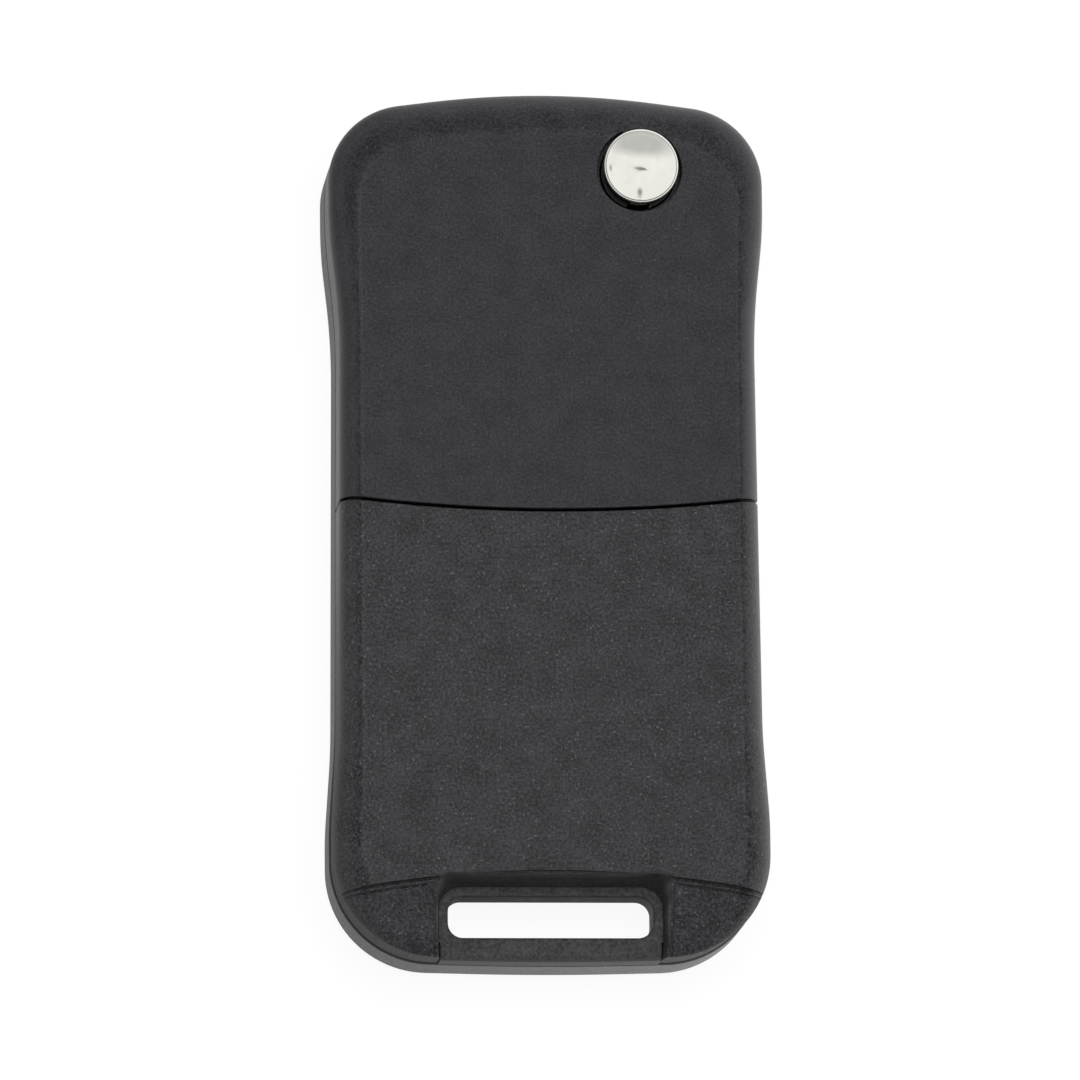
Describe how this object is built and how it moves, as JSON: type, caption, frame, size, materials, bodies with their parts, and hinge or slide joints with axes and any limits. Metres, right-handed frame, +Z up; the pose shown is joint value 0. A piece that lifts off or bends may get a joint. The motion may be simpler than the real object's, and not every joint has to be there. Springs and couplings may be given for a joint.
{
  "type": "flip remote key",
  "caption": "Folding car remote key with a swing-out blade, a round release button, front buttons, a battery cover and a key-ring slot",
  "frame": {"origin": "under the middle of the folded key, on the plane of the button face", "axes": "+X across the key toward the blade's side, +Y toward the release button, +Z up out of the back panel"},
  "size_m": [0.038, 0.076, 0.0176],
  "materials": {
    "case_black": "fine spark-eroded grain",
    "inner_black": "smooth moulded",
    "button_grey": "soft-touch rubber",
    "button_chrome": "polished plating",
    "hub_metal": "zinc die casting, satin black",
    "blade_steel": "milled and nickel plated",
    "spring_steel": "bright drawn",
    "silicone": "translucent grey silicone",
    "board_green": "solder mask",
    "chip_black": "moulded package",
    "can_metal": "tin plated",
    "copper": "bare copper strip",
    "cell_steel": "nickel plated can",
    "lamp_clear": "clear moulded guide"
  },
  "bodies": {
    "case": {"front_shell": "case_black", "back_shell": "case_black", "ring_insert": "case_black", "insert_screws": "spring_steel", "blade_liner": "inner_black", "thrust_washer": "spring_steel", "keypad_sheet": "silicone", "lock_dome": "silicone", "unlock_dome": "silicone", "trunk_dome": "silicone", "circuit_board": "board_green", "microcontroller": "chip_black", "radio_chip": "chip_black", "crystal": "can_metal", "transponder_coil": "chip_black", "antenna_loop": "copper", "status_led": "lamp_clear", "light_pipe": "lamp_clear", "battery_holder": "inner_black", "contact_positive": "can_metal", "contact_negative": "can_metal", "coin_cell": "cell_steel"},
    "cover": {"battery_cover": "case_black"},
    "blade": {"flip_hub": "hub_metal", "key_blade": "blade_steel", "blade_pin": "blade_steel", "flip_spring": "spring_steel"},
    "release": {"release_button": "button_chrome"},
    "lock_key": {"lock_button": "button_grey"},
    "unlock_key": {"unlock_button": "button_grey"},
    "trunk_key": {"trunk_button": "button_grey"}
  },
  "joints": [
    {"name": "blade_flip", "type": "hinge", "parent": "case", "child": "blade", "pos_m": [0.008, 0.0309, 0.0074], "axis": [0, 0, 1], "range_deg": [0, 180]},
    {"name": "release_press", "type": "slide", "parent": "blade", "child": "release", "axis": [0, 0, -1], "range_m": [0, 0.0025], "stiffness_N_per_m": 1000, "springref_m": -0.002, "deforming": ["flip_spring"]},
    {"name": "lock_press", "type": "slide", "parent": "case", "child": "lock_key", "axis": [0, 0, 1], "range_m": [0, 0.0006], "stiffness_N_per_m": 2500, "springref_m": -0.0004, "deforming": ["lock_dome"]},
    {"name": "unlock_press", "type": "slide", "parent": "case", "child": "unlock_key", "axis": [0, 0, 1], "range_m": [0, 0.0006], "stiffness_N_per_m": 2500, "springref_m": -0.0004, "deforming": ["unlock_dome"]},
    {"name": "trunk_press", "type": "slide", "parent": "case", "child": "trunk_key", "axis": [0, 0, 1], "range_m": [0, 0.0006], "stiffness_N_per_m": 2500, "springref_m": -0.0004, "deforming": ["trunk_dome"]},
    {"name": "cover_lift", "type": "slide", "parent": "case", "child": "cover", "axis": [0, 0, 1], "range_m": [0, 0.02]}
  ]
}
